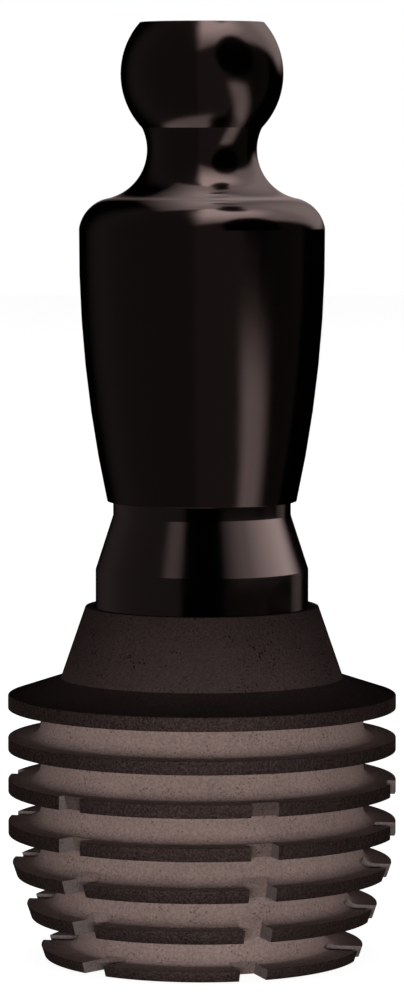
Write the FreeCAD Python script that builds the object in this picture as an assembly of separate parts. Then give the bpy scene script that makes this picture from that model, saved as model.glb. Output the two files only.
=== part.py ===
import FreeCAD, Part
import math
import os

# Press-fit dental implant on its insertion carrier.
#
# The implant is turned from one titanium bar: a ring of broad flat fins that
# grip the bone, six lengthwise slots that stop it turning, and a thin conical
# collar round a tapered well. A black plastic post stands in the well, and a
# black turned knob sits on the post's stem, to hold and drive the implant.
#
# Millimetres, +Z up. The origin is the centre of the implant's flat base.
# Angles round the axis are counted from the front, -Y, towards +X.

# Finned root
fin_count = 7
fin_radius = 3.00
fin_pitch = 0.65
rim_height = 0.21
lowest_rim_height = 0.17
taper_start_height = 1.646
taper_angle = 18.8

# Grooves between the fins: a straight core, with a hollow corner where it meets
# the fin below. The corner repeats, so it is a few narrow flats that stay within
# 0.004 mm of its round. The two lowest grooves are cut deeper.
core_radius = 2.50
second_core_radius = 2.25
lowest_core_radius = 1.89
hollow_corner = 0.19
hollow_corner_flats = 4

# Lengthwise slots across the lower fins
slot_count = 6
slot_phase = 18.3
slot_width = 0.43
slot_top_fin = 3
slot_depth_at_top = 0.12
slot_depth_at_base = 0.56
slot_bow = 0.06

# Flange and collar above the top fin's rim
flange_rise = 0.27
collar_base_radius = 2.18
collar_height = 1.10
collar_top_radius = 1.80

# Tapered well in the implant
well_mouth_radius = 1.662
well_depth = 3.44
well_half_angle = 1.5

# Post that stands in the well
running_clearance = 0.02
foot_gap_below = 0.20
foot_tip_chamfer = 0.15
foot_height_above_collar = 0.57
cone_height = 0.84
waist_radius = 1.37
waist_height = 0.215
stem_radius = 0.80
stem_length = 2.40
stem_tip_chamfer = 0.12

# Knob on the post's stem: its bowed side ends at the shoulder, and the narrowest
# ring of the neck, the crease under the ball, the ball's widest ring and its flat
# top follow, each at a height above the one before
knob_bottom_radius = 1.46
knob_widest_radius = 1.89
side_height = 4.195
widest_below_shoulder = 0.20
shoulder_arc = 0.569
neck_radius = 0.844
neck_arc = 0.758
neck_above_shoulder = 1.205
crease_above_neck = 0.335
ball_radius = 1.248
ball_above_crease = 0.82
flat_top_above_ball = 0.79
bore_gap_above = 0.20
bore_mouth_chamfer = 0.10

# Heights that follow from the sizes above
flange_rim_top = lowest_rim_height + (fin_count - 1) * fin_pitch
collar_base_height = flange_rim_top + flange_rise
collar_top_height = collar_base_height + collar_height
well_floor_height = collar_top_height - well_depth
cone_base_height = collar_top_height + foot_height_above_collar
waist_base_height = cone_base_height + cone_height
knob_seat_height = waist_base_height + waist_height
shoulder_height = knob_seat_height + side_height
knob_widest_height = shoulder_height - widest_below_shoulder
neck_height = shoulder_height + neck_above_shoulder
crease_height = neck_height + crease_above_neck
ball_height = crease_height + ball_above_crease
flat_top_height = ball_height + flat_top_above_ball

ORIGIN = FreeCAD.Vector(0, 0, 0)
UP = FreeCAD.Vector(0, 0, 1)


class Outline:
    """A closed half section, drawn from point to point and turned about Z."""

    def __init__(self, radius, height):
        self.first = FreeCAD.Vector(radius, 0, height)
        self.last = self.first
        self.edges = []

    def line_to(self, radius, height):
        end = FreeCAD.Vector(radius, 0, height)
        self.edges.append(Part.LineSegment(self.last, end).toShape())
        self.last = end

    def arc_to(self, radius, height, centre_radius, centre_height):
        """The shorter arc about a centre, from the last point to a new one."""
        end = FreeCAD.Vector(radius, 0, height)
        centre = FreeCAD.Vector(centre_radius, 0, centre_height)
        towards_middle = (self.last - centre) + (end - centre)
        towards_middle.normalize()
        middle = centre + towards_middle * (self.last - centre).Length
        self.edges.append(Part.Arc(self.last, middle, end).toShape())
        self.last = end

    def turned(self):
        closing = Part.LineSegment(self.last, self.first).toShape()
        section = Part.Face(Part.Wire(self.edges + [closing]))
        return section.revolve(ORIGIN, UP, 360)


def rim_top(fin):
    """Height of a fin's upper edge. Fin 1 is the flange, at the top."""
    return lowest_rim_height + (fin_count - fin) * fin_pitch


def rim_bottom(fin):
    if fin == fin_count:
        return 0.0
    return rim_top(fin) - rim_height


def envelope_radius(height):
    """Outside of the fins: straight above, tapered towards the base."""
    below = max(0.0, taper_start_height - height)
    return fin_radius - below * math.tan(math.radians(taper_angle))


def core_radius_below(fin):
    if fin == fin_count - 1:
        return lowest_core_radius
    if fin == fin_count - 2:
        return second_core_radius
    return core_radius


def draw_fin_and_groove(outline, fin):
    """One fin's rim and flat top, then the groove up to the next fin."""
    top = rim_top(fin)
    outline.line_to(envelope_radius(top), top)

    core = core_radius_below(fin - 1)
    ceiling = rim_bottom(fin - 1)
    for flat in range(hollow_corner_flats + 1):
        turn = math.radians(90 * flat / hollow_corner_flats)
        inward = hollow_corner * (1 - math.sin(turn))
        upward = hollow_corner * (1 - math.cos(turn))
        outline.line_to(core + inward, top + upward)
    outline.line_to(core, ceiling)
    outline.line_to(envelope_radius(ceiling), ceiling)


def make_turned_blank():
    """Fins, flange and collar as one turned solid, before well and slots."""
    outline = Outline(0, 0)
    outline.line_to(envelope_radius(0), 0)
    for fin in range(fin_count, 1, -1):
        draw_fin_and_groove(outline, fin)
    outline.line_to(envelope_radius(flange_rim_top), flange_rim_top)
    outline.line_to(collar_base_radius, collar_base_height)
    outline.line_to(collar_top_radius, collar_top_height)
    outline.line_to(0, collar_top_height)
    return outline.turned()


def well_radius(height):
    """The well narrows evenly from its mouth to its floor."""
    below = collar_top_height - height
    return well_mouth_radius - below * math.tan(math.radians(well_half_angle))


def make_well():
    overshoot = collar_top_height + collar_height
    outline = Outline(0, well_floor_height)
    outline.line_to(well_radius(well_floor_height), well_floor_height)
    outline.line_to(well_mouth_radius, collar_top_height)
    outline.line_to(well_mouth_radius, overshoot)
    outline.line_to(0, overshoot)
    return outline.turned()


def slot_floor_points():
    """Three points of the slot's bowed floor, from the base to its top fin."""
    top = rim_top(slot_top_fin)
    low = rim_top(fin_count)
    top_radius = envelope_radius(top) - slot_depth_at_top
    low_radius = envelope_radius(low) - slot_depth_at_base
    chord = math.hypot(top - low, top_radius - low_radius)
    middle_radius = (top_radius + low_radius) / 2 + slot_bow * (top - low) / chord
    middle_height = (top + low) / 2 - slot_bow * (top_radius - low_radius) / chord
    return [(low_radius, low), (middle_radius, middle_height), (top_radius, top)]


def slot_floor_radius(height):
    """Distance of the slot's floor from the axis, on the arc of its points."""
    low, middle, top = [FreeCAD.Vector(radius, 0, z) for radius, z in slot_floor_points()]
    circle = Part.Circle(low, middle, top)
    return circle.Center.x + math.sqrt(circle.Radius ** 2 - (height - circle.Center.z) ** 2)


def make_slot_cutter(angle):
    """A straight milled slot, open at the base, that runs out above its top fin."""
    run_out = (rim_top(slot_top_fin) + rim_bottom(slot_top_fin - 1)) / 2
    below_base = -rim_height
    outside = fin_radius + rim_height
    middle = (run_out + below_base) / 2
    low = FreeCAD.Vector(slot_floor_radius(below_base), -slot_width / 2, below_base)
    mid = FreeCAD.Vector(slot_floor_radius(middle), -slot_width / 2, middle)
    high = FreeCAD.Vector(slot_floor_radius(run_out), -slot_width / 2, run_out)
    high_outside = FreeCAD.Vector(outside, -slot_width / 2, run_out)
    low_outside = FreeCAD.Vector(outside, -slot_width / 2, below_base)
    edges = [
        Part.Arc(low, mid, high).toShape(),
        Part.LineSegment(high, high_outside).toShape(),
        Part.LineSegment(high_outside, low_outside).toShape(),
        Part.LineSegment(low_outside, low).toShape(),
    ]
    cutter = Part.Face(Part.Wire(edges)).extrude(FreeCAD.Vector(0, slot_width, 0))
    cutter.rotate(ORIGIN, UP, angle - 90)
    return cutter


def make_implant_body():
    body = make_turned_blank().cut(make_well())
    for number in range(slot_count):
        angle = slot_phase + number * 360 / slot_count
        body = body.cut(make_slot_cutter(angle))
    return body


def make_carrier_post():
    """Tapered foot in the well, cone and waist in view, stem in the knob."""
    foot_bottom = well_floor_height + foot_gap_below
    foot_mouth_radius = well_mouth_radius - running_clearance
    chamfer_top = foot_bottom + foot_tip_chamfer
    stem_top = knob_seat_height + stem_length
    outline = Outline(0, foot_bottom)
    outline.line_to(well_radius(foot_bottom) - running_clearance - foot_tip_chamfer, foot_bottom)
    outline.line_to(well_radius(chamfer_top) - running_clearance, chamfer_top)
    outline.line_to(foot_mouth_radius, collar_top_height)
    outline.line_to(foot_mouth_radius, cone_base_height)
    outline.line_to(waist_radius, waist_base_height)
    outline.line_to(waist_radius, knob_seat_height)
    outline.line_to(stem_radius, knob_seat_height)
    outline.line_to(stem_radius, stem_top - stem_tip_chamfer)
    outline.line_to(stem_radius - stem_tip_chamfer, stem_top)
    outline.line_to(0, stem_top)
    return outline.turned()


def shoulder_centre(start_radius, start_height, neck_centre_radius):
    """Centre of the shoulder's arc, which starts at the side and runs smoothly into the neck's arc."""
    across = neck_centre_radius - start_radius
    up = neck_height - start_height
    distance = math.hypot(across, up)
    reach = shoulder_arc + neck_arc
    along = (distance ** 2 + shoulder_arc ** 2 - reach ** 2) / (2 * distance)
    aside = math.sqrt(shoulder_arc ** 2 - along ** 2)
    radius = start_radius + (along * across - aside * up) / distance
    height = start_height + (along * up + aside * across) / distance
    return radius, height


def make_knob_blank():
    """The knob's outside: bowed side, round shoulder, hollow neck and ball."""
    # Side: an arc that is widest near the shoulder
    side_bulge = knob_widest_radius - knob_bottom_radius
    side_rise = knob_widest_height - knob_seat_height
    side_arc = (side_rise ** 2 + side_bulge ** 2) / (2 * side_bulge)
    side_centre = knob_widest_radius - side_arc
    shoulder_start = side_centre + math.sqrt(side_arc ** 2 - widest_below_shoulder ** 2)

    # Shoulder and neck: two arcs that run into each other
    neck_centre = neck_radius + neck_arc
    shoulder_r, shoulder_z = shoulder_centre(shoulder_start, shoulder_height, neck_centre)
    share = shoulder_arc / (shoulder_arc + neck_arc)
    join_radius = shoulder_r + share * (neck_centre - shoulder_r)
    join_height = shoulder_z + share * (neck_height - shoulder_z)

    # Ball: an arc from the crease, over its widest ring to the flat top
    crease_radius = neck_centre - math.sqrt(neck_arc ** 2 - crease_above_neck ** 2)
    ball_bulge = ball_radius - crease_radius
    ball_arc = (ball_above_crease ** 2 + ball_bulge ** 2) / (2 * ball_bulge)
    ball_centre = ball_radius - ball_arc
    top_radius = ball_centre + math.sqrt(ball_arc ** 2 - flat_top_above_ball ** 2)

    outline = Outline(0, knob_seat_height)
    outline.line_to(knob_bottom_radius, knob_seat_height)
    outline.arc_to(shoulder_start, shoulder_height, side_centre, knob_widest_height)
    outline.arc_to(join_radius, join_height, shoulder_r, shoulder_z)
    outline.arc_to(crease_radius, crease_height, neck_centre, neck_height)
    outline.arc_to(top_radius, flat_top_height, ball_centre, ball_height)
    outline.line_to(0, flat_top_height)
    return outline.turned()


def make_knob_bore():
    bore_radius = stem_radius + running_clearance
    bore_top = knob_seat_height + stem_length + bore_gap_above
    below_mouth = knob_seat_height - bore_mouth_chamfer
    outline = Outline(0, below_mouth)
    outline.line_to(bore_radius + 2 * bore_mouth_chamfer, below_mouth)
    outline.line_to(bore_radius, knob_seat_height + bore_mouth_chamfer)
    outline.line_to(bore_radius, bore_top)
    outline.line_to(0, bore_top)
    return outline.turned()


def make_insertion_knob():
    return make_knob_blank().cut(make_knob_bore())


def save(node, shape):
    if not shape.isValid() or len(shape.Solids) != 1:
        raise RuntimeError(node + " is not one valid solid")
    shape.Solids[0].exportStep("parts/" + node + ".step")
    box = shape.BoundBox
    print(node, "volume %.3f mm3" % shape.Volume, "z %.3f to %.3f" % (box.ZMin, box.ZMax))


os.makedirs("parts", exist_ok=True)
save("implant_body", make_implant_body())
save("carrier_post", make_carrier_post())
save("insertion_knob", make_insertion_knob())
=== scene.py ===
# %% [markdown]
# # A finned dental implant on its plastic carrier
# The implant is a short titanium root with seven broad fins. It comes to the
# dentist on a black carrier: a post that stands in the implant's well, and a knob
# on top that is held in the fingers. The engineering model gives every size and
# every moving body. This file makes the surfaces that the eye sees.

# %% Load the frame
import math

import bmesh
import bpy
from mathutils import Matrix, Vector


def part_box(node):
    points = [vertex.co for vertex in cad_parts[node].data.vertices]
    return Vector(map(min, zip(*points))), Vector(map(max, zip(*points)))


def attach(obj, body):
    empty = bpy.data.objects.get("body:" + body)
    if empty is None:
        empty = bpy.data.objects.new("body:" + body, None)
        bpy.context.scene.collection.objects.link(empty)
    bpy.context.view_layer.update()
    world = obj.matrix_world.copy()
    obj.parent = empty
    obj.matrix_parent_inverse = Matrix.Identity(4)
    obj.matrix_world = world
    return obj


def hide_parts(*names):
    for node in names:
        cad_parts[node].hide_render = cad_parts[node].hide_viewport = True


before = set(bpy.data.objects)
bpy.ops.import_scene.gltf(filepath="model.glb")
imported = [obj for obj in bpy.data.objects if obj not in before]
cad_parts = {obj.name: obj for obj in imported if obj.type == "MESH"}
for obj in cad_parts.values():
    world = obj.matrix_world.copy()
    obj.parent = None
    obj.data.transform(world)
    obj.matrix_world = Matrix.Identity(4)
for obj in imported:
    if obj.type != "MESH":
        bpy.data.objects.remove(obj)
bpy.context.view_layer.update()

print("nodes in the frame:", sorted(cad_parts))

# %% [markdown]
# ## Working in millimetres
# The whole object is 14 mm tall, so metres would fill the script with zeros. Each
# mesh is drawn in millimetres and made smaller by a thousand at the end, which
# also keeps the modelling tools at numbers that they handle well.
#
# Every piece here came off a lathe or out of a round mould. A lathe piece is best
# drawn as half of its section and spun about the axis, because the section is
# where its character lies. The steps below say how fine the curves are: one turn
# has 256 steps, so that the widest fin still looks round from close by.

# %% Scale and fineness
MM = 0.001
TURN_STEPS = 256
ARC_STEP = math.radians(2.5)
WELD = 0.0001
AXIS = (0, 0, 1)
ORIGIN = (0, 0, 0)

# %% [markdown]
# ## A pen for half sections
# Blender has no drawing board for sections, but a bmesh takes a chain of edges. The
# pen pushes its last vertex out for a straight run. For a round run it spins that
# vertex about the arc's centre, so an arc is written as a designer says it, by
# its centre and its end, and not as a list of points.

# %% The pen
class Pen:
    """Draws half a section in the XZ plane, in millimetres, as a chain of edges."""

    def __init__(self, radius, height):
        self.bm = bmesh.new()
        self.tip = self.bm.verts.new((radius, 0, height))

    def line_to(self, radius, height):
        pushed = bmesh.ops.extrude_vert_indiv(self.bm, verts=[self.tip])
        self.tip = pushed["verts"][0]
        self.tip.co = (radius, 0, height)

    def arc_to(self, radius, height, centre_radius, centre_height):
        """Turns the tip about a centre, the short way round, to a new point."""
        centre = Vector((centre_radius, 0, centre_height))
        start = self.tip.co - centre
        end = Vector((radius, 0, height)) - centre
        turn = math.atan2(start.z * end.x - start.x * end.z, start.dot(end))
        steps = max(2, math.ceil(abs(turn) / ARC_STEP))
        swept = bmesh.ops.spin(
            self.bm, geom=[self.tip], cent=centre, axis=(0, 1, 0), angle=turn, steps=steps
        )
        self.tip = next(v for v in swept["geom_last"] if isinstance(v, bmesh.types.BMVert))


# %% [markdown]
# ## From section to surface
# The spin closes on itself, so the first and last copies are merged, and doubles
# at the axis are welded into one point. A real turned edge is never a knife edge:
# the corners that are sharper than a set angle get a bevel of about a hundredth of
# a millimetre, which is what catches the light along every rim.

# %% Spin, weld and break the edges
def spin_section(pen):
    bm = pen.bm
    bmesh.ops.spin(
        bm,
        geom=bm.verts[:] + bm.edges[:],
        cent=ORIGIN,
        axis=AXIS,
        angle=math.tau,
        steps=TURN_STEPS,
        use_merge=True,
    )
    bmesh.ops.remove_doubles(bm, verts=bm.verts, dist=WELD)
    bmesh.ops.recalc_face_normals(bm, faces=bm.faces)
    return bm


def break_edges(bm, width, sharper_than):
    """A small round bevel on every edge that turns by more than an angle."""
    sharp = [e for e in bm.edges if e.is_manifold and e.calc_face_angle() > sharper_than]
    bmesh.ops.bevel(
        bm,
        geom=sharp,
        offset=width,
        offset_type="OFFSET",
        affect="EDGES",
        segments=2,
        profile=0.5,
        material=-1,
        clamp_overlap=True,
    )


# %% [markdown]
# ## Shading a turned surface
# Smooth shading hides the 256 steps, but it would also smear real creases. Each
# face is set smooth, and each edge that turns by more than the crease angle is
# marked sharp. The mesh then goes to metres and gets its object and its materials.
# The object is hung on the empty of the body that carries it, and the engineering
# node that it replaces is hidden.

# %% Finish a piece
def shade(bm, crease):
    for face in bm.faces:
        face.smooth = True
    for edge in bm.edges:
        edge.smooth = edge.is_manifold and edge.calc_face_angle() < crease


def add_piece(name, bm, body, node, materials):
    bmesh.ops.scale(bm, vec=(MM, MM, MM), verts=bm.verts)
    mesh = bpy.data.meshes.new(name)
    bm.to_mesh(mesh)
    bm.free()
    for material in materials:
        mesh.materials.append(material)
    piece = bpy.data.objects.new(name, mesh)
    bpy.context.scene.collection.objects.link(piece)
    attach(piece, body)
    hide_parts(node)
    print(name, "has", len(mesh.polygons), "faces on body", body)
    return piece


# %% [markdown]
# ## Helpers for materials
# A finish is a small network of nodes, and a few helpers keep the networks short
# to read. The first puts a value or another node's output into a socket. The next
# ones each add one kind of node and hand back its output. The last three start a
# material, find a point's place on its piece and dent the shaded surface.

# %% Node helpers
# Most of a noise pattern lies between these two values.
NOISE_SPAN = (0.3, 0.7)


def plug(tree, value, socket):
    if isinstance(value, bpy.types.NodeSocket):
        tree.links.new(value, socket)
    else:
        socket.default_value = value


def math_step(tree, operation, first, second=0.0):
    node = tree.nodes.new("ShaderNodeMath")
    node.operation = operation
    plug(tree, first, node.inputs[0])
    plug(tree, second, node.inputs[1])
    return node.outputs[0]


def change_range(tree, value, low, high, to_low=0.0, to_high=1.0, soft=False):
    node = tree.nodes.new("ShaderNodeMapRange")
    node.interpolation_type = "SMOOTHSTEP" if soft else "LINEAR"
    plug(tree, value, node.inputs["Value"])
    for socket, number in zip(node.inputs[1:5], (low, high, to_low, to_high)):
        plug(tree, number, socket)
    return node.outputs[0]


def mix_colours(tree, share, first, second):
    node = tree.nodes.new("ShaderNodeMix")
    node.data_type = "RGBA"
    plug(tree, share, node.inputs["Factor"])
    plug(tree, first, node.inputs["A"])
    plug(tree, second, node.inputs["B"])
    return node.outputs["Result"]


def scale_colour(tree, colour, factor):
    node = tree.nodes.new("ShaderNodeVectorMath")
    node.operation = "SCALE"
    plug(tree, colour if isinstance(colour, bpy.types.NodeSocket) else colour[:3], node.inputs[0])
    plug(tree, factor, node.inputs["Scale"])
    return node.outputs["Vector"]


def noise(tree, place, scale, detail=2.0, roughness=0.5):
    node = tree.nodes.new("ShaderNodeTexNoise")
    plug(tree, place, node.inputs["Vector"])
    plug(tree, scale, node.inputs["Scale"])
    plug(tree, detail, node.inputs["Detail"])
    plug(tree, roughness, node.inputs["Roughness"])
    return node.outputs["Fac"]


def new_material(name):
    material = bpy.data.materials.new(name)
    material.use_nodes = True
    return material, material.node_tree, material.node_tree.nodes["Principled BSDF"]


def place_in_mm(tree):
    """The point on the piece, in millimetres, so that patterns have real sizes."""
    coordinates = tree.nodes.new("ShaderNodeTexCoord")
    mapping = tree.nodes.new("ShaderNodeMapping")
    mapping.inputs["Scale"].default_value = (1 / MM, 1 / MM, 1 / MM)
    tree.links.new(coordinates.outputs["Object"], mapping.inputs["Vector"])
    return mapping.outputs["Vector"]


def add_bump(tree, shader, height, strength, distance):
    """Dents the shaded surface by a pattern, up to a distance in millimetres."""
    bump = tree.nodes.new("ShaderNodeBump")
    bump.inputs["Strength"].default_value = strength
    bump.inputs["Distance"].default_value = distance * MM
    tree.links.new(height, bump.inputs["Height"])
    tree.links.new(bump.outputs["Normal"], shader.inputs["Normal"])


# %% [markdown]
# ## Sizes of the finned root
# These are the sizes of the engineering model, in millimetres. Seven fins share
# one pitch. Their outside is straight above and tapers below, and the two lowest
# grooves are cut deeper. Everything else about the root follows from them.

# %% Root sizes
fin_count = 7
fin_radius = 3.00
fin_pitch = 0.65
rim_height = 0.21
lowest_rim_height = 0.17
taper_start_height = 1.646
taper_angle = math.radians(18.8)
core_radius = 2.50
second_core_radius = 2.25
lowest_core_radius = 1.89
hollow_corner = 0.19

flange_rise = 0.27
collar_base_radius = 2.18
collar_height = 1.10
collar_top_radius = 1.80
flange_rim_top = lowest_rim_height + (fin_count - 1) * fin_pitch
collar_base_height = flange_rim_top + flange_rise
collar_top_height = collar_base_height + collar_height

well_mouth_radius = 1.662
well_depth = 3.44
well_half_angle = math.radians(1.5)
well_floor_height = collar_top_height - well_depth


def rim_top(fin):
    """Height of a fin's upper edge. Fin 1 is the flange, at the top."""
    return lowest_rim_height + (fin_count - fin) * fin_pitch


def rim_bottom(fin):
    return 0.0 if fin == fin_count else rim_top(fin) - rim_height


def envelope_radius(height):
    return fin_radius - max(0.0, taper_start_height - height) * math.tan(taper_angle)


def core_radius_below(fin):
    special = {fin_count - 1: lowest_core_radius, fin_count - 2: second_core_radius}
    return special.get(fin, core_radius)


def well_radius(height):
    return well_mouth_radius - (collar_top_height - height) * math.tan(well_half_angle)


root_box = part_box("implant_body")
print("root is", round(collar_top_height, 3), "mm tall; the frame says", round(root_box[1].z / MM, 3))

# %% [markdown]
# ## Turning the root
# A form tool cuts each groove: it leaves a straight core and a hollow corner that
# runs out onto the top of the fin below. One function draws a fin with the groove
# above it, and a loop calls it up the root. The section goes on over the flange
# and the collar and down into the well, so one spin makes outside and inside.

# %% Turn the root
def draw_fin_and_groove(pen, fin):
    top = rim_top(fin)
    pen.line_to(envelope_radius(top), top)
    core = core_radius_below(fin - 1)
    ceiling = rim_bottom(fin - 1)
    pen.line_to(core + hollow_corner, top)
    pen.arc_to(core, top + hollow_corner, core + hollow_corner, top + hollow_corner)
    pen.line_to(core, ceiling)
    pen.line_to(envelope_radius(ceiling), ceiling)


rim_edge = 0.012
root_pen = Pen(0, 0)
root_pen.line_to(envelope_radius(0), 0)
for fin in range(fin_count, 1, -1):
    draw_fin_and_groove(root_pen, fin)
root_pen.line_to(fin_radius, flange_rim_top)
root_pen.line_to(collar_base_radius, collar_base_height)
root_pen.line_to(collar_top_radius, collar_top_height)
root_pen.line_to(well_mouth_radius, collar_top_height)
root_pen.line_to(well_radius(well_floor_height), well_floor_height)
root_pen.line_to(0, well_floor_height)
root = spin_section(root_pen)
break_edges(root, rim_edge, sharper_than=math.radians(40))
print("turned root has", len(root.faces), "faces")

# %% [markdown]
# ## Milling the slots
# Six lengthwise slots cross the five lower fins, so that the bone grows in and
# stops the root from turning. A slot's floor is bowed: shallow at the top fin and
# deep at the base. The cutter is drawn as its side view, pushed out to the slot's
# width and turned to its place. The bow is given by its height over the chord,
# which fixes the arc's radius and centre by one formula. The cutter's flat sides
# and its bowed face carry material numbers of their own. The Boolean hands them on
# to the slot's walls and floor, because milled metal looks unlike turned metal.

# %% Slot cutter
slot_count = 6
slot_phase = math.radians(18.3)
slot_width = 0.43
slot_top_fin = 3
slot_depth_at_top = 0.12
slot_depth_at_base = 0.56
slot_bow = 0.06
TURNED_FINISH, WALL_FINISH, FLOOR_FINISH = 0, 1, 2

floor_top = rim_top(slot_top_fin)
floor_low = rim_top(fin_count)
floor_top_radius = envelope_radius(floor_top) - slot_depth_at_top
floor_low_radius = envelope_radius(floor_low) - slot_depth_at_base
chord = math.hypot(floor_top - floor_low, floor_top_radius - floor_low_radius)
floor_arc = (chord ** 2 / 4 + slot_bow ** 2) / (2 * slot_bow)
outward = Vector((floor_top - floor_low, floor_low_radius - floor_top_radius)) / chord
floor_centre_radius = (floor_top_radius + floor_low_radius) / 2 - (floor_arc - slot_bow) * outward.x
floor_centre_height = (floor_top + floor_low) / 2 - (floor_arc - slot_bow) * outward.y


def slot_floor_radius(height):
    rise = height - floor_centre_height
    return floor_centre_radius + math.sqrt(floor_arc ** 2 - rise ** 2)


def make_slot_cutters():
    """All six slots as one bmesh of separate closed solids."""
    run_out = (rim_top(slot_top_fin) + rim_bottom(slot_top_fin - 1)) / 2
    below_base = -rim_height
    outside = fin_radius + rim_height
    pen = Pen(slot_floor_radius(below_base), below_base)
    pen.arc_to(slot_floor_radius(run_out), run_out, floor_centre_radius, floor_centre_height)
    pen.line_to(outside, run_out)
    pen.line_to(outside, below_base)
    bm = pen.bm
    bm.verts.ensure_lookup_table()
    bm.edges.new((pen.tip, bm.verts[0]))
    bmesh.ops.contextual_create(bm, geom=bm.edges[:])
    bmesh.ops.translate(bm, verts=bm.verts, vec=(0, -slot_width / 2, 0))
    pushed = bmesh.ops.extrude_face_region(bm, geom=bm.faces[:])
    moved = [v for v in pushed["geom"] if isinstance(v, bmesh.types.BMVert)]
    bmesh.ops.translate(bm, verts=moved, vec=(0, slot_width, 0))
    bmesh.ops.recalc_face_normals(bm, faces=bm.faces)
    for face in bm.faces:
        looks_sideways = abs(face.normal.y) > 0.9
        face.material_index = WALL_FINISH if looks_sideways else FLOOR_FINISH

    first = Matrix.Rotation(slot_phase - math.radians(90), 3, "Z")
    bmesh.ops.rotate(bm, verts=bm.verts, cent=ORIGIN, matrix=first)
    one_slot = bm.verts[:] + bm.edges[:] + bm.faces[:]
    for number in range(1, slot_count):
        copy = bmesh.ops.duplicate(bm, geom=one_slot)
        copied = [v for v in copy["geom"] if isinstance(v, bmesh.types.BMVert)]
        step = Matrix.Rotation(number * math.tau / slot_count, 3, "Z")
        bmesh.ops.rotate(bm, verts=copied, cent=ORIGIN, matrix=step)
    return bm


def temporary_object(name, bm):
    mesh = bpy.data.meshes.new(name)
    bm.to_mesh(mesh)
    bm.free()
    for finish in (TURNED_FINISH, WALL_FINISH, FLOOR_FINISH):
        mesh.materials.append(None)
    thing = bpy.data.objects.new(name, mesh)
    bpy.context.scene.collection.objects.link(thing)
    return thing


def cut_away(bm, cutter_bm):
    """The first solid without the second, by the exact Boolean."""
    blank = temporary_object("blank", bm)
    cutter = temporary_object("cutter", cutter_bm)
    modifier = blank.modifiers.new("slots", "BOOLEAN")
    modifier.operation = "DIFFERENCE"
    modifier.solver = "EXACT"
    modifier.object = cutter
    graph = bpy.context.evaluated_depsgraph_get()
    result = bmesh.new()
    result.from_mesh(blank.evaluated_get(graph).data)
    for thing in (blank, cutter):
        mesh = thing.data
        bpy.data.objects.remove(thing)
        bpy.data.meshes.remove(mesh)
    return result


root = cut_away(root, make_slot_cutters())
bmesh.ops.remove_doubles(root, verts=root.verts, dist=WELD)
shade(root, crease=math.radians(28))
wall_faces = sum(face.material_index == WALL_FINISH for face in root.faces)
print("slotted root has", len(root.faces), "faces, of them", wall_faces, "on slot walls")
print("open edges:", sum(not edge.is_manifold for edge in root.edges))

# %% [markdown]
# ## Blasted and etched titanium
# The root is turned, then blasted with grit and etched. The rims keep the broad
# dull shine of turned metal and are dark brown-grey. The grooves are matt and
# light, and the deeper the tool went, the lighter the metal. So the finish reads
# how far a point lies below the fins' outside. The collar is matt and dark, a little
# lighter towards the flange. The flange's slope looks up, and its colour is painted
# shade: far darker than the metal's own, and lighter inwards.

# %% Titanium colours
rim_colour = (0.0640, 0.0433, 0.0398, 1)
core_colour = (0.198, 0.140, 0.126, 1)
deepest_colour = (0.246, 0.176, 0.161, 1)
collar_colour = (0.0395, 0.0268, 0.0256, 1)
# The flange slope's colour is painted shade, far darker than the metal's own.
slope_painted_shade_colour = (0.0105, 0.0074, 0.0069, 1)
low_rim_level = 1.12
slope_shade_levels_inwards = (0.8, 1.6)
collar_levels_upwards = (1.0, 0.62)
core_depth = 0.50
deepest_depth = 0.85
lightening_power = 2.4
turned_skin = 0.012
slope_start = flange_rim_top + rim_edge / 2


def depth_below_fins(tree, radius, z):
    """How far a point lies inside the fins' outside, in millimetres."""
    below_start = math_step(tree, "MAXIMUM", math_step(tree, "SUBTRACT", taper_start_height, z), 0.0)
    narrowing = math_step(tree, "MULTIPLY", below_start, math.tan(taper_angle))
    outside = math_step(tree, "SUBTRACT", fin_radius, narrowing)
    return math_step(tree, "SUBTRACT", outside, radius)


def above(tree, z, height):
    """1 above a height and 0 below it."""
    return math_step(tree, "GREATER_THAN", z, height)


def titanium_colours(tree, radius, z):
    """The bare metal's colour and how much of it shines like a turned rim."""
    depth = depth_below_fins(tree, radius, z)
    cut = math_step(tree, "POWER", change_range(tree, depth, 0.0, core_depth), lightening_power)
    taper_edge = taper_start_height - rim_edge
    rim_level = change_range(tree, z, taper_edge, taper_start_height, low_rim_level, 1.0)
    metal = mix_colours(tree, cut, scale_colour(tree, rim_colour, rim_level), core_colour)
    deepest = change_range(tree, depth, core_depth, deepest_depth)
    metal = mix_colours(tree, deepest, metal, deepest_colour)
    metal = mix_colours(tree, above(tree, z, rim_bottom(1)), metal, rim_colour)
    # Painted shade on the flange's upward slope, lighter inwards.
    slope_shade_level = change_range(tree, radius, fin_radius, collar_base_radius, *slope_shade_levels_inwards)
    slope = scale_colour(tree, slope_painted_shade_colour, slope_shade_level)
    metal = mix_colours(tree, above(tree, z, slope_start), metal, slope)
    collar_level = change_range(tree, z, collar_base_height, collar_top_height, *collar_levels_upwards)
    collar = scale_colour(tree, collar_colour, collar_level)
    metal = mix_colours(tree, above(tree, z, collar_base_height), metal, collar)
    skin = change_range(tree, depth, turned_skin, 2 * turned_skin, 1.0, 0.0)
    rims = math_step(tree, "MULTIPLY", skin, math_step(tree, "LESS_THAN", z, slope_start))
    return metal, rims


# %% [markdown]
# ## Pits and grain
# The same surface detail lies on turned and on milled metal, so one function adds
# it to any colour: fine grain, and pits, which are small dark spots in clusters
# with a dent in the bump. A Voronoi pattern gives one pit a cell. A slow noise says
# where pits are large and where there are none. The grain shows most on the rims.
# Bare metal turns pale where it is seen edge on, but an etched oxide skin does not:
# a dark tint on the specular keeps the rims dark at the sides of the root. The
# grooves are rough enough to look flat, and the smoother collar darkens sideways.

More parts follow.
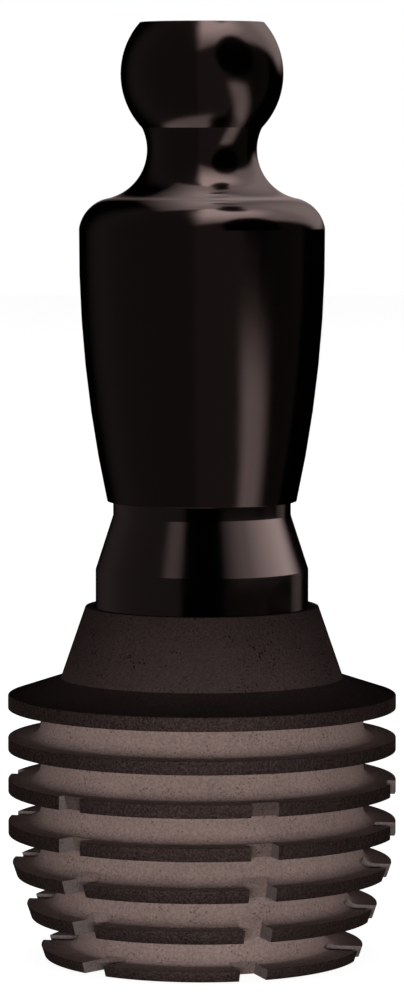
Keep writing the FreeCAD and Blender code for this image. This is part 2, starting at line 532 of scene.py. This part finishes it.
# %% Titanium finish
pit_spacing = 0.052
pit_reach = 0.44
pit_dent = 0.008
dent_strength = 0.5
full_pit = 0.6
cloud_levels = (0.92, 1.08)
metal_roughness = 0.76
groove_grain = 0.19
rim_grain = 0.40
groove_roughness = 0.3
groove_pits = 0.50
collar_pits = 0.15
edge_tint = (0.2, 0.2, 0.2, 1)


def add_pits(tree, shader, place, colour, contrast, pit_level):
    clouds = change_range(tree, noise(tree, place, scale=1.5, detail=3.0), *NOISE_SPAN, *cloud_levels)
    fine_noise = noise(tree, place, scale=27.0, detail=2.0, roughness=0.7)
    speckle = change_range(tree, fine_noise, 0.35, 0.65, -1.0, 1.0)
    grain = math_step(tree, "ADD", math_step(tree, "MULTIPLY", speckle, contrast), 1.0)
    cells = tree.nodes.new("ShaderNodeTexVoronoi")
    plug(tree, place, cells.inputs["Vector"])
    plug(tree, 1 / pit_spacing, cells.inputs["Scale"])
    slow_noise = noise(tree, place, scale=3.2, detail=3.0, roughness=0.6)
    clustered = change_range(tree, slow_noise, 0.36, 0.64)
    reach = math_step(tree, "MULTIPLY", clustered, pit_reach)
    pit = change_range(tree, cells.outputs["Distance"], 0.0, reach, 1.0, 0.0, soft=True)
    unpitted = change_range(tree, pit, 0.0, full_pit, 1.0, pit_level)
    level = math_step(tree, "MULTIPLY", math_step(tree, "MULTIPLY", clouds, grain), unpitted)
    tree.links.new(scale_colour(tree, colour, level), shader.inputs["Base Color"])

    add_bump(tree, shader, math_step(tree, "SUBTRACT", speckle, pit), dent_strength, pit_dent)
    shader.inputs["Roughness"].default_value = metal_roughness
    shader.inputs["Specular IOR Level"].default_value = 0.0
    shader.inputs["Specular Tint"].default_value = edge_tint


def split_place(tree):
    """The point in millimetres, and its distance from the axis and its height."""
    place = place_in_mm(tree)
    split = tree.nodes.new("ShaderNodeSeparateXYZ")
    tree.links.new(place, split.inputs[0])
    x, y, z = split.outputs
    x_squared = math_step(tree, "MULTIPLY", x, x)
    y_squared = math_step(tree, "MULTIPLY", y, y)
    return place, math_step(tree, "SQRT", math_step(tree, "ADD", x_squared, y_squared)), z


def make_turned_titanium():
    material, tree, shader = new_material("turned and blasted titanium")
    place, radius, z = split_place(tree)
    colour, rims = titanium_colours(tree, radius, z)
    contrast = change_range(tree, rims, 0.0, 1.0, groove_grain, rim_grain)
    on_root = math_step(tree, "LESS_THAN", z, collar_base_height)
    pit_level = change_range(tree, on_root, 0.0, 1.0, collar_pits, groove_pits)
    add_pits(tree, shader, place, colour, contrast, pit_level)
    tree.links.new(rims, shader.inputs["Metallic"])
    flatness = math_step(tree, "MULTIPLY", on_root, groove_roughness)
    tree.links.new(flatness, shader.inputs["Diffuse Roughness"])
    return material


# %% [markdown]
# ## The slots' milled faces
# The walls are a shade cooler than the rest. Their colour is also lifted above the
# metal's own as painted light, so that they show as thin pale edges at the sides of
# the root where the nearer fins partly shade them. The floor is brown at the top,
# where the mill only skimmed the fin, and lighter further down. In the lowest fin
# it is darkened again as painted shade near the base.

# %% Milled titanium
# The wall colour is the milled metal's own, lifted as painted light against the fins' shade.
wall_colour_with_painted_light = (0.124, 0.097, 0.093, 1)
floor_top_colour = (0.0620, 0.0425, 0.0388, 1)
floor_low_colour = (0.1860, 0.1320, 0.1200, 1)
# How far painted shade darkens the floor in the lowest fin.
floor_foot_shade_level = 0.66


def make_wall_titanium():
    material, tree, shader = new_material("milled titanium wall")
    add_pits(tree, shader, place_in_mm(tree), wall_colour_with_painted_light, groove_grain, groove_pits)
    shader.inputs["Diffuse Roughness"].default_value = groove_roughness
    return material


def make_floor_titanium():
    material, tree, shader = new_material("milled titanium floor")
    place, _, z = split_place(tree)
    depth = change_range(tree, z, floor_top, rim_top(fin_count - 1))
    # Painted shade: the floor is darkened in the lowest fin, near the base.
    foot = change_range(tree, z, rim_top(fin_count), rim_bottom(fin_count - 1), floor_foot_shade_level, 1.0)
    colour = scale_colour(tree, mix_colours(tree, depth, floor_top_colour, floor_low_colour), foot)
    add_pits(tree, shader, place, colour, groove_grain, groove_pits)
    shader.inputs["Diffuse Roughness"].default_value = groove_roughness
    return material


finishes = [make_turned_titanium(), make_wall_titanium(), make_floor_titanium()]
implant = add_piece("implant", root, "implant", "implant_body", finishes)

# %% [markdown]
# ## The post
# The post is moulded: a taper that wedges in the well, a short straight foot, a
# cone and a waist that the knob sits on, and a stem inside the knob.
# The hidden parts are drawn too, because the joints pull them into view.

# %% Post
running_clearance = 0.02
foot_gap_below = 0.20
foot_tip_chamfer = 0.15
foot_height_above_collar = 0.57
cone_height = 0.84
waist_radius = 1.37
waist_height = 0.215
stem_radius = 0.80
stem_length = 2.40
stem_tip_chamfer = 0.12
moulded_edge = 0.006

foot_bottom = well_floor_height + foot_gap_below
foot_chamfer_top = foot_bottom + foot_tip_chamfer
foot_mouth_radius = well_mouth_radius - running_clearance
cone_base_height = collar_top_height + foot_height_above_collar
waist_base_height = cone_base_height + cone_height
knob_seat_height = waist_base_height + waist_height
stem_top = knob_seat_height + stem_length

post_pen = Pen(0, foot_bottom)
post_pen.line_to(well_radius(foot_bottom) - running_clearance - foot_tip_chamfer, foot_bottom)
post_pen.line_to(well_radius(foot_chamfer_top) - running_clearance, foot_chamfer_top)
post_pen.line_to(foot_mouth_radius, collar_top_height)
post_pen.line_to(foot_mouth_radius, cone_base_height)
post_pen.line_to(waist_radius, waist_base_height)
post_pen.line_to(waist_radius, knob_seat_height)
post_pen.line_to(stem_radius, knob_seat_height)
post_pen.line_to(stem_radius, stem_top - stem_tip_chamfer)
post_pen.line_to(stem_radius - stem_tip_chamfer, stem_top)
post_pen.line_to(0, stem_top)
post_bm = spin_section(post_pen)
break_edges(post_bm, moulded_edge, sharper_than=math.radians(15))
shade(post_bm, crease=math.radians(12))

# %% [markdown]
# ## The knob
# The knob swells towards its shoulder, rolls over it into a hollow neck and ends
# in a ball with a flat top. The side and the shoulder meet at a faint crease, and
# the neck meets the ball at a clear one. The shoulder's arc runs smoothly into
# the neck's: both circles touch, so their centres lie one radius sum apart, and
# a little geometry finds the shoulder's centre from that.

# %% Knob outline
knob_bottom_radius = 1.46
knob_widest_radius = 1.89
side_height = 4.195
widest_below_shoulder = 0.20
shoulder_arc = 0.569
neck_radius = 0.844
neck_arc = 0.758
neck_above_shoulder = 1.205
crease_above_neck = 0.335
ball_radius = 1.248
ball_above_crease = 0.82
flat_top_above_ball = 0.79
bore_gap_above = 0.20
bore_mouth_chamfer = 0.10

shoulder_height = knob_seat_height + side_height
knob_widest_height = shoulder_height - widest_below_shoulder
neck_height = shoulder_height + neck_above_shoulder
crease_height = neck_height + crease_above_neck
ball_height = crease_height + ball_above_crease
flat_top_height = ball_height + flat_top_above_ball


def circle_across(rise, bulge):
    """Radius of an arc that moves out by bulge while it rises by rise."""
    return (rise ** 2 + bulge ** 2) / (2 * bulge)


side_arc = circle_across(knob_widest_height - knob_seat_height, knob_widest_radius - knob_bottom_radius)
side_centre = knob_widest_radius - side_arc
shoulder_start = side_centre + math.sqrt(side_arc ** 2 - widest_below_shoulder ** 2)

neck_centre = Vector((neck_radius + neck_arc, neck_height))
start = Vector((shoulder_start, shoulder_height))
between = neck_centre - start
reach = shoulder_arc + neck_arc
along = (between.length_squared + shoulder_arc ** 2 - reach ** 2) / (2 * between.length)
aside = math.sqrt(shoulder_arc ** 2 - along ** 2)
unit = between.normalized()
shoulder_centre = start + unit * along + Vector((-unit.y, unit.x)) * aside
join = shoulder_centre.lerp(neck_centre, shoulder_arc / reach)

crease_radius = neck_centre.x - math.sqrt(neck_arc ** 2 - crease_above_neck ** 2)
ball_arc = circle_across(ball_above_crease, ball_radius - crease_radius)
ball_centre = ball_radius - ball_arc
flat_top_radius = ball_centre + math.sqrt(ball_arc ** 2 - flat_top_above_ball ** 2)
print("knob top at", round(flat_top_height, 3), "mm, crease radius", round(crease_radius, 3))

# %% Turn the knob
bore_radius = stem_radius + running_clearance
bore_top = stem_top + bore_gap_above

knob_pen = Pen(0, bore_top)
knob_pen.line_to(bore_radius, bore_top)
knob_pen.line_to(bore_radius, knob_seat_height + bore_mouth_chamfer)
knob_pen.line_to(bore_radius + bore_mouth_chamfer, knob_seat_height)
knob_pen.line_to(knob_bottom_radius, knob_seat_height)
knob_pen.arc_to(shoulder_start, shoulder_height, side_centre, knob_widest_height)
knob_pen.arc_to(join.x, join.y, shoulder_centre.x, shoulder_centre.y)
knob_pen.arc_to(crease_radius, crease_height, neck_centre.x, neck_centre.y)
knob_pen.arc_to(flat_top_radius, flat_top_height, ball_centre, ball_height)
knob_pen.line_to(0, flat_top_height)
knob_bm = spin_section(knob_pen)
break_edges(knob_bm, moulded_edge, sharper_than=math.radians(30))
shade(knob_bm, crease=math.radians(7))

# %% [markdown]
# ## Gloss black plastic
# Both pieces are polished mouldings. Black plastic has hardly any colour of its
# own: what the eye sees is the room in its surface. A little roughness blurs the
# reflections' edges, and a faint slow waviness keeps them from looking like
# glass. The knob's black leans to brown and the post's is a shade cooler.

# %% Black plastic
knob_black = (0.0030, 0.0021, 0.0018)
knob_shine = (1.0, 0.92, 0.91, 1)
knob_roughness = 0.13
post_black = (0.0045, 0.0033, 0.0036)
post_shine = (1.0, 0.94, 0.95, 1)
post_roughness = 0.16
wave_height = 0.02
wave_strength = 0.03


def make_black_plastic(name, colour, tint, roughness):
    material, tree, shader = new_material(name)
    place = place_in_mm(tree)
    uneven = change_range(tree, noise(tree, place, scale=3.0, detail=3.0), *NOISE_SPAN, 0.8, 1.2)
    rough = math_step(tree, "MULTIPLY", uneven, roughness)
    tree.links.new(rough, shader.inputs["Roughness"])

    depth = change_range(tree, noise(tree, place, scale=0.9, detail=2.0), *NOISE_SPAN, 0.85, 1.15)
    tree.links.new(scale_colour(tree, colour, depth), shader.inputs["Base Color"])

    waves = noise(tree, place, scale=2.5, detail=1.0)
    add_bump(tree, shader, waves, wave_strength, wave_height)
    shader.inputs["Specular Tint"].default_value = tint
    return material


knob_plastic = make_black_plastic("brown black plastic", knob_black, knob_shine, knob_roughness)
post_plastic = make_black_plastic("cool black plastic", post_black, post_shine, post_roughness)

post = add_piece("post", post_bm, "post", "carrier_post", [post_plastic])
knob = add_piece("knob", knob_bm, "knob", "insertion_knob", [knob_plastic])

# %% [markdown]
# ## Camera
# The picture was taken with a long lens from a little above. The lens and the
# distance come from fitting the fins' and the knob's widths: the fins near the
# bottom are seen more from above than the ball, and that fixes both.

# %% Camera
camera_distance = 70.18 * MM
camera_pitch = math.radians(4.528)
aim_height = 7.076 * MM
camera_data = bpy.data.cameras.new("camera")
camera_data.lens = 163.8
camera_data.sensor_width = 36
camera_data.clip_start = 0.001
camera = bpy.data.objects.new("camera", camera_data)
camera.location = (
    0,
    -camera_distance * math.cos(camera_pitch),
    aim_height + camera_distance * math.sin(camera_pitch),
)
camera.rotation_euler = (math.radians(90) - camera_pitch, 0, 0)
bpy.context.scene.collection.objects.link(camera)
bpy.context.scene.camera = camera
print("camera stands", round(camera_distance / MM, 1), "mm away")

# %% [markdown]
# ## The white room
# The background is plain white, to the camera and through glass. In gloss only
# the narrow backdrop straight behind the object shows, at the very edge of the
# black plastic. The floor is a pale board. A little glow for the camera brings it
# to white, and a lamp of its own above it keeps the soft shadow at the foot.

# %% Directions
def direction_towards(azimuth, elevation):
    """A unit vector. Azimuth is counted from the camera's side, -Y, towards +X."""
    a, e = math.radians(azimuth), math.radians(elevation)
    return Vector((math.sin(a) * math.cos(e), -math.cos(a) * math.cos(e), math.sin(e)))


def cosine(degrees):
    return math.cos(math.radians(degrees))


def sine(degrees):
    return math.sin(math.radians(degrees))


def facing(tree, direction, azimuth, elevation=0):
    """The cosine between a direction and a fixed one."""
    node = tree.nodes.new("ShaderNodeVectorMath")
    node.operation = "DOT_PRODUCT"
    plug(tree, direction, node.inputs[0])
    node.inputs[1].default_value = direction_towards(azimuth, elevation)
    return node.outputs["Value"]


def cone(tree, direction, azimuth, elevation, reach, soft):
    """1 within a reach, in degrees, of a fixed direction, and 0 beyond its soft edge."""
    near = facing(tree, direction, azimuth, elevation)
    return change_range(tree, near, cosine(reach + soft), cosine(reach - soft), soft=True)


def fade_round(tree, flat, azimuth, far, near, levels=(0.0, 1.0), soft=False):
    """A change of level from far round to near an azimuth, in degrees."""
    turn = facing(tree, flat, azimuth)
    return change_range(tree, turn, cosine(far), cosine(near), *levels, soft=soft)


def fade_up(tree, rise, low, high, levels=(0.0, 1.0), soft=False):
    """A change of level from a low to a high angle above the horizon, in degrees."""
    return change_range(tree, rise, sine(low), sine(high), *levels, soft=soft)


# %% World
# The four angles of a cone: azimuth, elevation, reach and soft edge, in degrees.
BACKDROP = (180, 0, 5, 2)
ambient_level = 0.03
world = bpy.data.worlds.new("studio")
world.use_nodes = True
bpy.context.scene.world = world
tree = world.node_tree
background = tree.nodes["Background"]
direction = tree.nodes.new("ShaderNodeTexCoord").outputs["Generated"]
rays = tree.nodes.new("ShaderNodeLightPath").outputs
backdrop = math_step(tree, "MULTIPLY", cone(tree, direction, *BACKDROP), rays["Is Glossy Ray"])
white_rays = math_step(tree, "MAXIMUM", rays["Is Camera Ray"], rays["Is Transmission Ray"])
ambient = math_step(tree, "MULTIPLY", rays["Is Diffuse Ray"], ambient_level)
level = math_step(tree, "ADD", math_step(tree, "MAXIMUM", white_rays, backdrop), ambient)
tree.links.new(level, background.inputs["Color"])
print("world ready, ambient", ambient_level)

# %% Floor
floor_half = 300 * MM
floor_gap = 0.002 * MM
board_colour = (0.80, 0.80, 0.80, 1)
board_roughness = 0.9
board_glow = 0.93
floor_bm = bmesh.new()
bmesh.ops.create_grid(floor_bm, x_segments=1, y_segments=1, size=floor_half)
floor_mesh = bpy.data.meshes.new("floor")
floor_bm.to_mesh(floor_mesh)
floor_bm.free()
floor = bpy.data.objects.new("floor", floor_mesh)
floor.location.z = -floor_gap
floor.visible_glossy = False
bpy.context.scene.collection.objects.link(floor)

floor_material, tree, shader = new_material("pale board")
shader.inputs["Base Color"].default_value = board_colour
shader.inputs["Roughness"].default_value = board_roughness
shader.inputs["Specular IOR Level"].default_value = 0.0
camera_ray = tree.nodes.new("ShaderNodeLightPath").outputs["Is Camera Ray"]
shader.inputs["Emission Color"].default_value = (1, 1, 1, 1)
glow = math_step(tree, "MULTIPLY", camera_ray, board_glow)
tree.links.new(glow, shader.inputs["Emission Strength"])
floor_mesh.materials.append(floor_material)

# %% [markdown]
# ## Light on the metal
# Matt metal needs broad soft lamps. The main one is a low strip in front, nearly
# level with the root, so faces that stand upright are bright and faces that look
# up stay dark. Two weaker lamps stand behind, so that the object reads from every
# side. Light linking gives them to the metal alone, because a lamp that is right
# for matt metal would be a hard patch in the black gloss. What a matt face sends
# back is the lamp's power over the square of pi times its distance. So the power
# follows from the brightness that is wanted: at 1, a colour renders as written.

# %% Metal lamps
def receivers_of(name, *things):
    group = bpy.data.collections.new(name)
    for thing in things:
        group.objects.link(thing)
    return group


def add_lamp(name, place, aim, receivers, width, height, brightness):
    """A soft rectangular lamp, in millimetres, that lights only its receivers."""
    away = Vector(place) - Vector(aim)
    data = bpy.data.lights.new(name, "AREA")
    data.shape = "RECTANGLE"
    data.size = width * MM
    data.size_y = height * MM
    data.energy = brightness * (math.pi * away.length * MM) ** 2
    lamp = bpy.data.objects.new(name, data)
    lamp.location = Vector(place) * MM
    lamp.rotation_mode = "QUATERNION"
    lamp.rotation_quaternion = away.to_track_quat("Z", "Y")
    lamp.visible_camera = False
    lamp.light_linking.receiver_collection = receivers
    bpy.context.scene.collection.objects.link(lamp)


def beside(azimuth, distance, height):
    out = direction_towards(azimuth, 0) * distance
    return (out.x, out.y, height)


metal_only = receivers_of("metal only", implant)
floor_only = receivers_of("floor only", floor)
root_middle = (0, 0, 3)
lamp_distance = 110
front = beside(0, lamp_distance, 13)
left_back = beside(-150, lamp_distance, 14)
right_back = beside(150, lamp_distance, 14)
overhead = (0, 0, 200)
add_lamp("front lamp", front, root_middle, metal_only, width=50, height=6, brightness=1.0)
add_lamp("left back lamp", left_back, root_middle, metal_only, width=60, height=30, brightness=0.6)
add_lamp("right back lamp", right_back, root_middle, metal_only, width=60, height=30, brightness=0.6)
add_lamp("floor lamp", overhead, ORIGIN, floor_only, width=300, height=300, brightness=0.25)

# %% [markdown]
# ## Reflections in the gloss
# A photographer lights black gloss with softboxes and flags: each is there only
# for the shape of its reflection. Here each gloss piece stands inside a large
# glowing dome that nothing else sees. The glow is painted on the dome by
# direction, with soft-edged cones and fades, joined by plain arithmetic. Round the
# knob they make a softbox overhead with a round flag in front of it, a low strip
# light, a dim wall on the left and two dim strips, in front and on the right. A
# card behind and one below imitate the light that the knob's own parts throw on
# one another, and small flags imitate their dark spots. The dome lets rays
# through, so it adds light and hides nothing.

# %% The dome
dome_radius = 200
WARM = (1.0, 0.765, 0.725, 1)


def compass(tree, direction):
    """The direction's level part, as a unit vector, for patterns that read azimuth only."""
    level = tree.nodes.new("ShaderNodeVectorMath")
    level.operation = "MULTIPLY"
    plug(tree, direction, level.inputs[0])
    level.inputs[1].default_value = (1, 1, 0)
    unit = tree.nodes.new("ShaderNodeVectorMath")
    unit.operation = "NORMALIZE"
    tree.links.new(level.outputs["Vector"], unit.inputs[0])
    return unit.outputs["Vector"]


def product(tree, *factors):
    total = factors[0]
    for factor in factors[1:]:
        total = math_step(tree, "MULTIPLY", total, factor)
    return total


def total_of(tree, *parts):
    total = parts[0]
    for part in parts[1:]:
        total = math_step(tree, "ADD", total, part)
    return total


def but_not(tree, part):
    return math_step(tree, "SUBTRACT", 1.0, part)


def light(tree, direction, glow, *angles):
    """A cone that glows. A flag is a cone that takes light away."""
    return product(tree, glow, cone(tree, direction, *angles))


def glow_material(name, paint):
    """A material that adds a glow by direction and lets every ray through."""
    material = bpy.data.materials.new(name)
    material.use_nodes = True
    material.cycles.emission_sampling = "NONE"
    tree = material.node_tree
    tree.nodes.clear()
    unit = tree.nodes.new("ShaderNodeVectorMath")
    unit.operation = "NORMALIZE"
    plug(tree, place_in_mm(tree), unit.inputs[0])
    direction = unit.outputs["Vector"]
    split = tree.nodes.new("ShaderNodeSeparateXYZ")
    tree.links.new(direction, split.inputs[0])

    emission = tree.nodes.new("ShaderNodeEmission")
    clear = tree.nodes.new("ShaderNodeBsdfTransparent")
    both = tree.nodes.new("ShaderNodeAddShader")
    output = tree.nodes.new("ShaderNodeOutputMaterial")
    plug(tree, paint(tree, direction, split.outputs[2]), emission.inputs["Strength"])
    emission.inputs["Color"].default_value = WARM
    tree.links.new(emission.outputs[0], both.inputs[0])
    tree.links.new(clear.outputs[0], both.inputs[1])
    tree.links.new(both.outputs[0], output.inputs["Surface"])
    return material


def seen_only_in(thing, receivers):
    """Keeps a glowing stage thing out of every view but one piece's gloss."""
    thing.visible_camera = False
    thing.visible_diffuse = False
    thing.visible_transmission = False
    thing.visible_shadow = False
    thing.light_linking.receiver_collection = receivers
    bpy.context.scene.collection.objects.link(thing)


def add_dome(name, centre_height, paint, receivers):
    bm = bmesh.new()
    bmesh.ops.create_uvsphere(bm, u_segments=48, v_segments=24, radius=dome_radius * MM)
    mesh = bpy.data.meshes.new(name)
    bm.to_mesh(mesh)
    bm.free()
    mesh.materials.append(glow_material(name + " glow", paint))
    dome = bpy.data.objects.new(name, mesh)
    dome.location.z = centre_height * MM
    seen_only_in(dome, receivers)
    print(name, "stands round height", round(centre_height, 2), "mm")


# %% The knob's studio
# A light's glow comes before its four angles. Flags and edges have the angles only.
LEFT_WALL = (0.122, -97, 0, 90, 1.5)
FRONT_STRIP = (0.195, 24, 0, 31, 2)
RIGHT_FILL = (0.05, 82, 0, 27, 4)
CARD_BELOW = (1.45, 156, -75.6, 39, 4.5)
CARD_BELOW_SIDE = (-40, 0, 88, 12)
CARD_BELOW_END = (62, -64, 15, 4)
SOFTBOX_EDGE = (-139, 52, 83.5, 5)
ROUND_FLAG = (51.5, 24.5, 28, 3.5)
SMALL_FLAGS = ((102, 74.5, 8, 2), (136, 71.5, 5, 1), (167, 60.3, 3.5, 1), (176, 41.5, 2, 0.7))
FLAG_BELOW = (66, -67.5, 9, 3)
# A straight edge is two directions that it runs through, and how soft it is.
STRIP_LEFT = ((38.4, -12), (62.8, -43), 6)
STRIP_RIGHT = ((101.8, -45), (64.8, -12), 8)
STRIP_GLOW = 1.85


def straight_edge(tree, direction, first, second, soft):
    """1 on one side of the plane through two directions, and 0 on the other."""
    normal = direction_towards(*first).cross(direction_towards(*second)).normalized()
    azimuth = math.degrees(math.atan2(normal.x, -normal.y))
    elevation = math.degrees(math.asin(normal.z))
    return cone(tree, direction, azimuth, elevation, 90, soft)


def overhead_softbox(tree, direction, flat, rise):
    """Brightest high up at the front, and fading out towards the back."""
    low_part = change_range(tree, rise, 0.20, 0.72, 1.15, 2.1)
    front_half = fade_round(tree, flat, 45, far=80, near=40)
    high_part = product(tree, front_half, change_range(tree, rise, 0.72, 0.92, 0.0, 3.6))
    lower_edge = cone(tree, direction, *SOFTBOX_EDGE)
    left_edge = change_range(tree, facing(tree, direction, 90), -0.18, 0.04, soft=True)
    horizon = fade_up(tree, rise, low=0, high=9, soft=True)
    side_fade = fade_round(tree, flat, 45, far=75, near=45, levels=(0.8, 1.0))
    back_fade = fade_round(tree, flat, 60, far=108, near=75, levels=(0.33, 1.0))
    glow = total_of(tree, low_part, high_part)
    return product(tree, glow, lower_edge, left_edge, horizon, side_fade, back_fade)


def card_behind(tree, direction, rise):
    slope = change_range(tree, facing(tree, direction, 81, 23), -0.05, 0.27, 0.0, 1.9)
    end = change_range(tree, facing(tree, direction, 90), 0.02, 0.20, 1.0, 0.0, soft=True)
    back_half = change_range(tree, facing(tree, direction, 180), -0.05, 0.05, soft=True)
    top = fade_up(tree, rise, low=37, high=64, levels=(0.45, 1.0))
    return product(tree, slope, end, back_half, top)


def low_strip(tree, direction, rise):
    left = straight_edge(tree, direction, *STRIP_LEFT)
    right = straight_edge(tree, direction, *STRIP_RIGHT)
    top = fade_up(tree, rise, low=-16.7, high=-5.7, levels=(1.0, 0.0), soft=True)
    foot = fade_up(tree, rise, low=-56, high=-48, levels=(0.3, 1.0))
    return product(tree, STRIP_GLOW, left, right, top, foot)


def card_below(tree, direction, flat):
    side = cone(tree, flat, *CARD_BELOW_SIDE)
    end = but_not(tree, cone(tree, direction, *CARD_BELOW_END))
    return product(tree, light(tree, direction, *CARD_BELOW), side, end)


def knob_studio(tree, direction, rise):
    flat = compass(tree, direction)
    wall_fade = fade_round(tree, flat, -45, far=100, near=52, soft=True)
    glow = total_of(
        tree,
        product(tree, light(tree, flat, *LEFT_WALL), wall_fade),
        light(tree, flat, *FRONT_STRIP),
        light(tree, flat, *RIGHT_FILL),
        overhead_softbox(tree, direction, flat, rise),
        card_behind(tree, direction, rise),
        low_strip(tree, direction, rise),
    )
    for flag in (ROUND_FLAG, *SMALL_FLAGS):
        glow = product(tree, glow, but_not(tree, cone(tree, direction, *flag)))
    glow = total_of(tree, glow, card_below(tree, direction, flat))
    return product(tree, glow, but_not(tree, cone(tree, direction, *FLAG_BELOW)))


# %% The post's studio
POST_WALL = (0.19, -112, 0, 90, 3)
HIGH_PATCH = (1.05, -34.5, 29.5, 8, 6)
FOOT_WALL = (0.06, 50, 0, 25, 5)
EDGE_LINE = (0.33, 124, -5, 9, 5)
RIGHT_WALL_END = (30, 0, 92, 16)
RIGHT_WALL_PEAK = 102


def bright_right_wall(tree, flat, rise):
    """Rises to a peak at one azimuth, and ends softly at the back."""
    towards_peak = facing(tree, flat, RIGHT_WALL_PEAK)
    broad = change_range(tree, towards_peak, 0.20, 0.62, 0.0, 1.65)
    peak = change_range(tree, towards_peak, 0.70, 1.0, 0.0, 2.5)
    end = cone(tree, flat, *RIGHT_WALL_END)
    horizon = fade_up(tree, rise, low=0, high=7, soft=True)
    return product(tree, total_of(tree, broad, peak), end, horizon)


def post_studio(tree, direction, rise):
    flat = compass(tree, direction)
    wall_fade = fade_round(tree, flat, -45, far=125, near=60, soft=True)
    return total_of(
        tree,
        product(tree, light(tree, flat, *POST_WALL), wall_fade),
        light(tree, direction, *HIGH_PATCH),
        bright_right_wall(tree, flat, rise),
        light(tree, flat, *FOOT_WALL),
        light(tree, direction, *EDGE_LINE),
    )


# %% [markdown]
# ## One bounce only
# A real gloss knob also mirrors its own ball in its shoulder. Those small second
# pictures are hard to place, so the pieces are hidden from glossy rays, and the
# two cards and the small flags imitate them. Only the domes and the backdrop show
# in the gloss then, which keeps the shapes easy to read.

# %% Place the domes
for piece in (implant, post, knob):
    piece.visible_glossy = False
knob_only = receivers_of("knob only", knob)
post_only = receivers_of("post only", post)
add_dome("knob dome", (knob_seat_height + flat_top_height) / 2, knob_studio, knob_only)
add_dome("post dome", (collar_top_height + knob_seat_height) / 2, post_studio, post_only)

# %% [markdown]
# ## Colour view
# Standard view keeps every colour as it was set.

# %% Finish
bpy.context.scene.view_settings.view_transform = "Standard"
